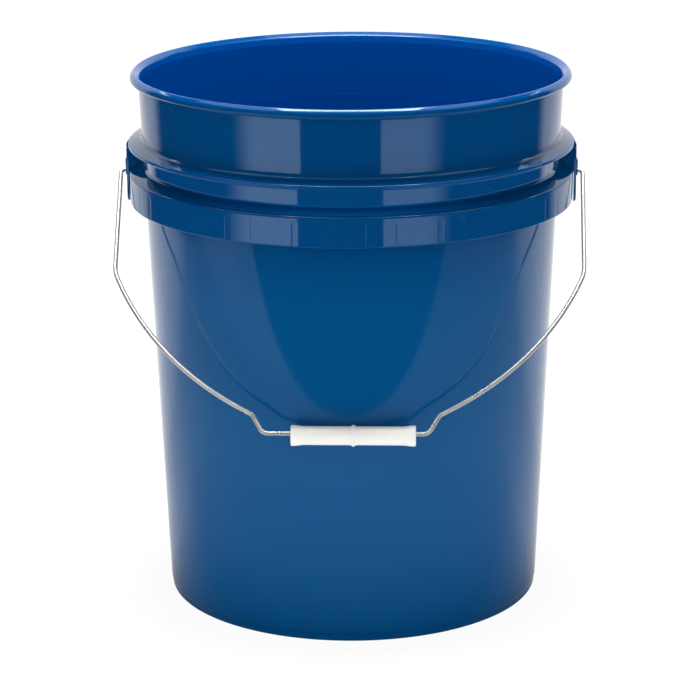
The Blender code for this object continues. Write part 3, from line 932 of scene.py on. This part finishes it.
    def holes(self, pail: Pail) -> Object:
        """Cutters of the wire holes through both tabs, as one object."""
        bm = bmesh.new()
        last = 360.0 - 360.0 / self.hole_sides
        ring = arc(0.0, self.pivot_z, self.hole_r, 0.0, last, self.hole_sides - 1)
        start = self.tab_in(pail) - self.hole_back
        for side in Side:
            face = [Vector((side.value * start, y, z)) for y, z in ring]
            prism(bm, face, Vector((side.value * self.hole_long, 0.0, 0.0)))
        return to_object("ear_holes", bm)


@dataclass
class Bail:
    """Bent wire bail with hooked ends, drawn hanging straight down and turned to its rest."""

    pivot: Vector
    rest_angle: float
    reach: float
    wire_r: float = 0.00155
    wire_edge: float = 0.3 * MM
    bend_r: float = 0.003
    bend_steps: int = 12
    tail: float = 0.0052
    tail_x: float = 0.1496
    leg_x: float = 0.1595
    leg_in: float = 0.0006
    corner_s: float = 0.083
    corner_r: float = 0.028
    bow: float = 0.0129
    bow_steps: int = 40
    bow_start: int = 4
    jog_x: float = 0.0543
    jog_run: float = 0.0073
    jog_depth: float = 0.0138
    jog_r: float = 0.0062
    sides: int = 20
    crease_deg: float = 50.0
    finish: CloudedFinish = ZINC_WIRE

    def half_line(self) -> list[Point]:
        """Centre line of the right half, as X and distance from the pivot axis.

        Returns:
            Points from the hooked tail to the middle of the straight run.
        """
        knee = (self.leg_x - self.leg_in, self.corner_s)
        low = (self.jog_x, self.reach)
        top = (self.jog_x + self.jog_run, self.reach - self.jog_depth)
        chord = Vector(top) - Vector(knee)
        out = Vector((chord.y, -chord.x)).normalized()
        bowed = []
        # The bow starts past the rounding of the knee
        for i in range(self.bow_start, self.bow_steps):
            t = i / self.bow_steps
            p = Vector(knee) + chord * t + out * (4.0 * self.bow * t * (1.0 - t))
            bowed.append((p.x, p.y))
        corners = [(self.tail_x, -self.tail), (self.tail_x, 0.0), (self.leg_x, 0.0), knee]
        corners += bowed + [top, low, (0.0, self.reach)]
        radii = [0.0, self.bend_r, self.bend_r, self.corner_r]
        radii += [0.0] * len(bowed) + [self.jog_r, self.jog_r, 0.0]
        return rounded(corners, radii, self.bend_steps)

    def build(self) -> Object:
        """Sweep the wire's round section along the centre line.

        Returns:
            The finished bail.
        """
        half = self.half_line()[:-1]
        line = half + [(-x, s) for x, s in reversed(half)]
        turn = Matrix.Translation(self.pivot) @ Matrix.Rotation(-self.rest_angle, 4, "X")
        path = [turn @ Vector((x, 0.0, -s)) for x, s in line]
        side = turn.to_3x3() @ Vector((0.0, 1.0, 0.0))
        frames = []
        for i, p in enumerate(path):
            ahead = (path[min(i + 1, len(path) - 1)] - path[max(i - 1, 0)]).normalized()
            facing = Matrix((side.cross(ahead), side, ahead)).transposed()
            frames.append(Matrix.Translation(p) @ facing.to_4x4())
        bm = bmesh.new()
        bmesh.ops.create_circle(
            bm, cap_ends=True, radius=self.wire_r, segments=self.sides, matrix=frames[0]
        )
        edges = list(bm.edges)
        for before, after in zip(frames[:-1], frames[1:]):
            grown = bmesh.ops.extrude_edge_only(bm, edges=edges)["geom"]
            verts = [g for g in grown if isinstance(g, BMVert)]
            bmesh.ops.transform(bm, matrix=after @ before.inverted(), verts=verts)
            rim = set(verts)
            edges = [g for g in grown if isinstance(g, BMEdge) and set(g.verts) <= rim]
        bmesh.ops.edgeloop_fill(bm, edges=edges)
        caps = [face for face in bm.faces if len(face.verts) > 4]
        soften(bm, [edge for cap in caps for edge in cap.edges], self.wire_edge)
        bail = to_object("wire_bail", bm)
        smooth(bail, self.crease_deg)
        return bail


@dataclass
class Grip:
    """Hollow roller grip with trumpet ends and a bead round its middle."""

    centre: Vector
    length: float = 0.082
    body_r: float = 0.00625
    flare_r: float = 0.0069
    flare_run: float = 0.0075
    flare_end: float = 0.0016
    flare_steps: int = 8
    end_round: float = 0.0007
    bead_r: float = 0.00725
    bead_run: float = 0.0026
    bead_round: float = 0.001
    bead_foot: Point = (0.55, 0.0002)
    bore_r: float = 0.00325
    mouth: Line = ((0.0, 0.0008), (0.0003, 0.0006), (0.001, 0.0))
    hang: float = 0.0013
    segments: int = 96
    crease_deg: float = 40.0
    finish: CloudedFinish = WHITE_POLYETHYLENE

    def section(self) -> list[Point]:
        """Closed section as X and radius, from the left bore mouth over to the right one."""
        half, soft = 0.5 * self.length, self.bead_round
        right = arc(0.0, self.bead_r - soft, soft, 90.0, 30.0, 4)
        share, up = self.bead_foot
        right += [(share * self.bead_run, self.body_r + up), (self.bead_run, self.body_r)]
        for i in range(self.flare_steps + 1):
            t = i / self.flare_steps
            ease = t * t * (3.0 - 2.0 * t)
            x = half - self.flare_end - self.flare_run * (1.0 - t)
            right.append((x, self.body_r + (self.flare_r - self.body_r) * ease))
        soft = self.end_round
        right += arc(half - soft, self.flare_r - soft, soft, 90.0, 0.0, 5)
        right += [(half - back, self.bore_r + out) for back, out in self.mouth]
        return [(-x, r) for x, r in reversed(right[1:])] + right

    def build(self) -> Object:
        """Turn the section about the wire."""
        section = [Vector((x, 0.0, r)) for x, r in self.section()]
        bm = spun(section, Vector((1.0, 0.0, 0.0)), self.segments, closed=True)
        bmesh.ops.translate(bm, verts=bm.verts, vec=self.centre)
        grip = to_object("roller_grip", bm)
        smooth(grip, self.crease_deg)
        return grip


@dataclass(frozen=True)
class Panel:
    """Bright panel that the camera doesn't see: a card that shows only in gloss, or a softbox.

    Bearing from the front, right positive, and lift are in degrees. A softbox fades towards its
    outer edge.
    """

    name: str
    bearing: float
    lift: float
    away: float
    width: float
    span_z: Span
    level: float
    aim_z: float = 0.3
    softbox: bool = False
    full_at: float = 0.15

    def build(self) -> None:
        """Add the panel, facing the pail's axis."""
        turn = Matrix.Rotation(math.radians(self.bearing), 4, "Z")
        turn = turn @ Matrix.Rotation(-math.radians(self.lift), 4, "X")
        half, (low, top) = 0.5 * self.width, self.span_z
        bm = bmesh.new()
        corners = [(-half, low), (-half, top), (half, top), (half, low)]
        bm.faces.new([bm.verts.new((x, 0.0, z)) for x, z in corners])
        panel = to_object(self.name, bm)
        aim = Matrix.Translation((0.0, 0.0, self.aim_z))
        panel.matrix_world = aim @ turn @ Matrix.Translation((0.0, -self.away, 0.0))
        panel.visible_camera = False
        panel.visible_diffuse = panel.visible_shadow = self.softbox
        mat = bpy.data.materials.new(self.name)
        panel.data.materials.append(mat)
        node, level = emptied(mat), self.level
        if self.softbox:
            across = node("SeparateXYZ", Vector=node("TexCoord").outputs["Object"])
            edge = math.copysign(half, self.bearing)
            fade = ends((edge, self.full_at * edge), (0.0, self.level))
            level = node("MapRange", Does.EASED, Value=across.outputs["X"], **fade)
        glow = node("Emission", Color=WHITE, Strength=level)
        node("OutputMaterial", Surface=glow)


@dataclass
class Studio:
    """White table and surroundings, an overhead softbox, cards, two front strips and the camera."""

    distance: float = 1.862
    eye_z: float = 0.707
    azimuth: float = math.radians(1.9)
    pitch: float = math.radians(16.16)
    pan: float = math.radians(-0.047)
    roll: float = math.radians(-0.309)
    focal_px: float = 2753.0
    frame_px: float = 700.0
    sensor: float = 36.0
    table_front: float = -0.525
    table_hollow: float = 0.055
    table_hollow_x: float = 0.63
    table_back: float = 4.5
    table_half: float = 1.0
    table_steps: int = 8
    table_z: float = -0.05 * MM
    table: WhiteTable = WhiteTable()
    lamp_at: Triple = (0.0, 0.05, 1.6)
    lamp_to: Triple = (0.0, 0.0, 0.25)
    lamp_size: float = 0.5
    lamp_watts: float = 52.0
    panels: tuple[Panel, ...] = (
        Panel("overhead_card", 0.0, 90.0, 1.3, 0.95, (-0.25, 0.25), 22.0),
        Panel("ceiling_card", 0.0, 90.0, 1.35, 2.4, (-0.5, 0.5), 1.5),
        Panel("left_back_card", -123.0, 33.0, 1.2, 0.24, (-0.03, 0.03), 4.5),
        Panel("right_back_card", 123.0, 33.0, 1.2, 0.24, (-0.03, 0.03), 4.5),
        Panel("left_strip", -41.8, 0.0, 0.78, 0.53, (0.08, 0.22), 2.1, aim_z=0.0, softbox=True),
        Panel("right_strip", 33.5, 0.0, 0.78, 0.48, (0.08, 0.22), 1.65, aim_z=0.0, softbox=True),
    )
    back_y: Span = (0.52, 0.68)
    back_level: Span = (0.015, 0.95)
    fill_level: Span = (0.83, 0.33)

    def build(self) -> None:
        """Set the camera, table, lamps and world."""
        self._camera()
        self._table()
        self._overhead()
        for panel in self.panels:
            panel.build()
        self._world()
        bpy.context.scene.view_settings.view_transform = "Standard"

    def _camera(self) -> None:
        """Place the camera where the photograph was taken from."""
        turn = Matrix.Rotation(0.5 * math.pi - self.pitch, 4, "X")
        turn = turn @ Matrix.Rotation(-self.pan, 4, "Y") @ Matrix.Rotation(self.roll, 4, "Z")
        stand = Matrix.Translation((0.0, -self.distance, self.eye_z))
        data = bpy.data.cameras.new("camera")
        data.sensor_width = self.sensor
        data.lens = self.focal_px / self.frame_px * self.sensor
        camera = bpy.data.objects.new("camera", data)
        camera.matrix_world = Matrix.Rotation(self.azimuth, 4, "Z") @ stand @ turn
        bpy.context.scene.collection.objects.link(camera)
        bpy.context.scene.camera = camera

    def _table(self) -> None:
        """Add the table top, hollow along its front edge."""
        bm = bmesh.new()
        half, steps = self.table_half, self.table_steps
        across = [half * i / steps for i in range(-steps, steps + 1)]
        bend = [self.table_hollow * (x / self.table_hollow_x) ** 2 for x in across]
        corners = [(x, self.table_front - back) for x, back in zip(across, bend)]
        corners += [(half, self.table_back), (-half, self.table_back)]
        bm.faces.new([bm.verts.new((x, y, self.table_z)) for x, y in corners])
        table = to_object("table", bm)
        table.data.materials.append(self.table.material())

    def _overhead(self) -> None:
        """Add the soft lamp above the object."""
        data = bpy.data.lights.new("overhead_softbox", "AREA")
        data.shape = "RECTANGLE"
        data.size = data.size_y = self.lamp_size
        data.energy = self.lamp_watts
        lamp = bpy.data.objects.new("overhead_softbox", data)
        lamp.location = self.lamp_at
        facing = Vector(self.lamp_to) - Vector(self.lamp_at)
        lamp.rotation_euler = facing.to_track_quat("-Z", "Y").to_euler()
        lamp.visible_camera = False
        lamp.visible_glossy = False
        bpy.context.scene.collection.objects.link(lamp)

    def _world(self) -> None:
        """White surroundings behind the table, a dim room in front of it that fills from there."""
        world = bpy.data.worlds.new("studio")
        bpy.context.scene.world = world
        node = emptied(world)
        view = node("TexCoord").outputs["Generated"]
        y = node("SeparateXYZ", Vector=view).outputs["Y"]
        back = node("MapRange", Does.EASED, Value=y, **ends(self.back_y, self.back_level))
        eye = node("LightPath").outputs["Is Camera Ray"]
        white = node("Math", Does.MOST, _0=back, _1=eye)
        around = node("Background", Color=WHITE, Strength=white)
        soft = node("MapRange", Value=y, **ends((-1.0, 1.0), self.fill_level))
        fill = node("Background", Color=WHITE, Strength=soft)
        mix = node("MixShader", _0=seen(node), _1=fill, _2=around)
        node("OutputWorld", Surface=mix)


def show(
    obj: Object,
    body: str,
    finish: MouldedPolyethylene | CloudedFinish,
    stands_for: str | None = None,
) -> None:
    """Give a piece its finish and slot, tie it to its body and hide any CAD node it replaces."""
    mat = bpy.data.materials.get(finish.name) or finish.material()
    obj.data.materials.clear()
    obj.data.materials.append(mat)
    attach(obj, body)
    if stands_for:
        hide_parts(stands_for)
    LOG.info("%s: %d faces on body %s", obj.name, len(obj.data.polygons), body)


def main() -> None:
    """Load the frame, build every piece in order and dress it."""
    logging.basicConfig(level=logging.INFO, format="%(message)s")
    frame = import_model()
    joints = {j["name"]: j for j in frame["joints"]}
    pivot = Vector(joints["bail_swing"]["pos_m"])
    grip_at = Vector(joints["grip_spin"]["pos_m"])
    pail = Pail(height=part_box("pail_body")[1][2])
    ears = Ears(pivot_z=pivot.z)
    grip = Grip(centre=grip_at)
    drop = pivot.z - grip_at.z - grip.hang
    rest = math.atan2(pivot.y - grip_at.y, drop)
    bail = Bail(pivot=pivot, rest_angle=rest, reach=math.hypot(grip_at.y - pivot.y, drop))
    show(pail.build(ears), "pail", pail.finish, "pail_body")
    show(pail.build_gussets(), "pail", pail.finish)
    show(bail.build(), "bail", bail.finish, "bail_wire")
    show(grip.build(), "grip", grip.finish, "hand_grip")
    Studio().build()


if __name__ == "__main__":
    main()
